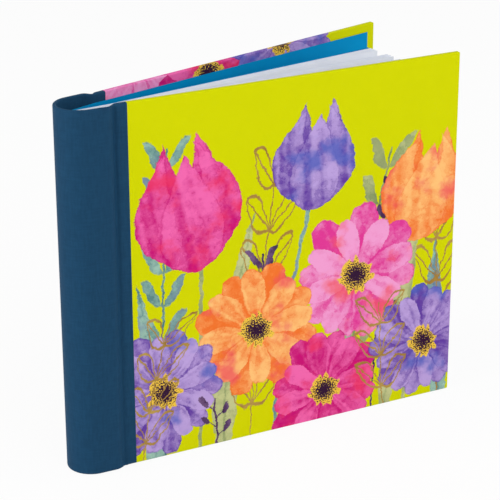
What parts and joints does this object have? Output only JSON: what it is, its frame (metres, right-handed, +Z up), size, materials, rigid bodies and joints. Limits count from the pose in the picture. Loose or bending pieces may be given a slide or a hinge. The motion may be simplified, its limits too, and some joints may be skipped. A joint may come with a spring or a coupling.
{
  "type": "address book",
  "caption": "Hardback address book, quarter-bound: rounded hollow cloth spine, printed boards, blue endpapers, and leaves with stepped index tabs that fan as the covers swing open.",
  "frame": {"origin": "bottom centre of the book's box as it stands, a little open, on its tail", "axes": "+X from the spine to the fore-edge, +Y from the front cover to the back cover, +Z up"},
  "size_m": [0.1834, 0.0632, 0.16],
  "materials": {
    "book_cloth": "matte",
    "cover_paper": "satin",
    "greyboard": "matte",
    "endpaper": "matte",
    "leaf_paper": "matte",
    "divider_card": "satin",
    "binding_glue": "satin",
    "gauze": "matte"
  },
  "bodies": {
    "spine": {"spine_cloth": "book_cloth", "spine_card": "greyboard", "spine_glue": "binding_glue", "mull": "gauze", "front_endpaper_fold": "endpaper", "back_endpaper_fold": "endpaper", "bound_edges": "leaf_paper", "leaves_05": "leaf_paper", "divider_05": "divider_card"},
    "front_cover": {"front_board": "greyboard", "front_cover_paper": "cover_paper", "front_joint_cloth": "book_cloth", "front_pastedown": "endpaper"},
    "back_cover": {"back_board": "greyboard", "back_cover_paper": "cover_paper", "back_joint_cloth": "book_cloth", "back_pastedown": "endpaper"},
    "front_fly": {"front_flyleaf": "endpaper"},
    "back_fly": {"back_flyleaf": "endpaper"},
    "section_01": {"leaves_01": "leaf_paper", "divider_01": "divider_card"},
    "section_02": {"leaves_02": "leaf_paper", "divider_02": "divider_card"},
    "section_03": {"leaves_03": "leaf_paper", "divider_03": "divider_card"},
    "section_04": {"leaves_04": "leaf_paper", "divider_04": "divider_card"},
    "section_06": {"leaves_06": "leaf_paper", "divider_06": "divider_card"},
    "section_07": {"leaves_07": "leaf_paper", "divider_07": "divider_card"},
    "section_08": {"leaves_08": "leaf_paper", "divider_08": "divider_card"},
    "section_09": {"leaves_09": "leaf_paper", "divider_09": "divider_card"},
    "section_10": {"leaves_10": "leaf_paper", "divider_10": "divider_card"},
    "section_11": {"leaves_11": "leaf_paper", "divider_11": "divider_card"},
    "section_12": {"leaves_12": "leaf_paper", "divider_12": "divider_card"}
  },
  "joints": [
    {"name": "front_cover_hinge", "type": "hinge", "parent": "spine", "child": "front_cover", "pos_m": [-0.07127, -0.01747, 0.08], "axis": [0, 0, -1], "range_deg": [-5, 145]},
    {"name": "back_cover_hinge", "type": "hinge", "parent": "spine", "child": "back_cover", "pos_m": [-0.07127, 0.00193, 0.08], "axis": [0, 0, 1], "range_deg": [-11.8, 139.5]},
    {"name": "section_01_bend", "type": "hinge", "parent": "spine", "child": "section_01", "pos_m": [-0.06647, -0.01385, 0.08], "axis": [0, 0, -1], "range_deg": [-2.8, 81.2]},
    {"name": "section_02_bend", "type": "hinge", "parent": "spine", "child": "section_02", "pos_m": [-0.06567, -0.01305, 0.08], "axis": [0, 0, -1], "range_deg": [-2.5, 72.5]},
    {"name": "section_03_bend", "type": "hinge", "parent": "spine", "child": "section_03", "pos_m": [-0.06487, -0.01225, 0.08], "axis": [0, 0, -1], "range_deg": [-2.2, 63.8]},
    {"name": "section_04_bend", "type": "hinge", "parent": "spine", "child": "section_04", "pos_m": [-0.06407, -0.01145, 0.08], "axis": [0, 0, -1], "range_deg": [-1.9, 55.1]},
    {"name": "section_06_bend", "type": "hinge", "parent": "spine", "child": "section_06", "pos_m": [-0.06167, -0.00985, 0.08], "axis": [0, 0, 1], "range_deg": [-0.5, 5.91]},
    {"name": "section_07_bend", "type": "hinge", "parent": "spine", "child": "section_07", "pos_m": [-0.06247, -0.00905, 0.08], "axis": [0, 0, 1], "range_deg": [-1, 11.82]},
    {"name": "section_08_bend", "type": "hinge", "parent": "spine", "child": "section_08", "pos_m": [-0.06327, -0.00825, 0.08], "axis": [0, 0, 1], "range_deg": [-3.9, 46.11]},
    {"name": "section_09_bend", "type": "hinge", "parent": "spine", "child": "section_09", "pos_m": [-0.06407, -0.00745, 0.08], "axis": [0, 0, 1], "range_deg": [-4, 47.29]},
    {"name": "section_10_bend", "type": "hinge", "parent": "spine", "child": "section_10", "pos_m": [-0.06487, -0.00665, 0.08], "axis": [0, 0, 1], "range_deg": [-4.1, 48.47]},
    {"name": "section_11_bend", "type": "hinge", "parent": "spine", "child": "section_11", "pos_m": [-0.06567, -0.00585, 0.08], "axis": [0, 0, 1], "range_deg": [-4.2, 49.65]},
    {"name": "section_12_bend", "type": "hinge", "parent": "spine", "child": "section_12", "pos_m": [-0.06647, -0.00505, 0.08], "axis": [0, 0, 1], "range_deg": [-4.3, 50.84]},
    {"name": "front_flyleaf_bend", "type": "hinge", "parent": "spine", "child": "front_fly", "pos_m": [-0.06727, -0.01449, 0.08], "axis": [0, 0, -1], "range_deg": [-3.3, 95.7]},
    {"name": "back_flyleaf_bend", "type": "hinge", "parent": "spine", "child": "back_fly", "pos_m": [-0.06727, -0.00464, 0.08], "axis": [0, 0, 1], "range_deg": [-4.8, 56.75]}
  ],
  "couplings": [
    {"joint": "section_01_bend", "follows": "front_cover_hinge", "ratio": 0.56},
    {"joint": "section_02_bend", "follows": "front_cover_hinge", "ratio": 0.5},
    {"joint": "section_03_bend", "follows": "front_cover_hinge", "ratio": 0.44},
    {"joint": "section_04_bend", "follows": "front_cover_hinge", "ratio": 0.38},
    {"joint": "section_06_bend", "follows": "back_cover_hinge", "ratio": 0.042373},
    {"joint": "section_07_bend", "follows": "back_cover_hinge", "ratio": 0.084746},
    {"joint": "section_08_bend", "follows": "back_cover_hinge", "ratio": 0.33051},
    {"joint": "section_09_bend", "follows": "back_cover_hinge", "ratio": 0.33898},
    {"joint": "section_10_bend", "follows": "back_cover_hinge", "ratio": 0.34746},
    {"joint": "section_11_bend", "follows": "back_cover_hinge", "ratio": 0.35593},
    {"joint": "section_12_bend", "follows": "back_cover_hinge", "ratio": 0.36441},
    {"joint": "front_flyleaf_bend", "follows": "front_cover_hinge", "ratio": 0.66},
    {"joint": "back_flyleaf_bend", "follows": "back_cover_hinge", "ratio": 0.40678}
  ]
}
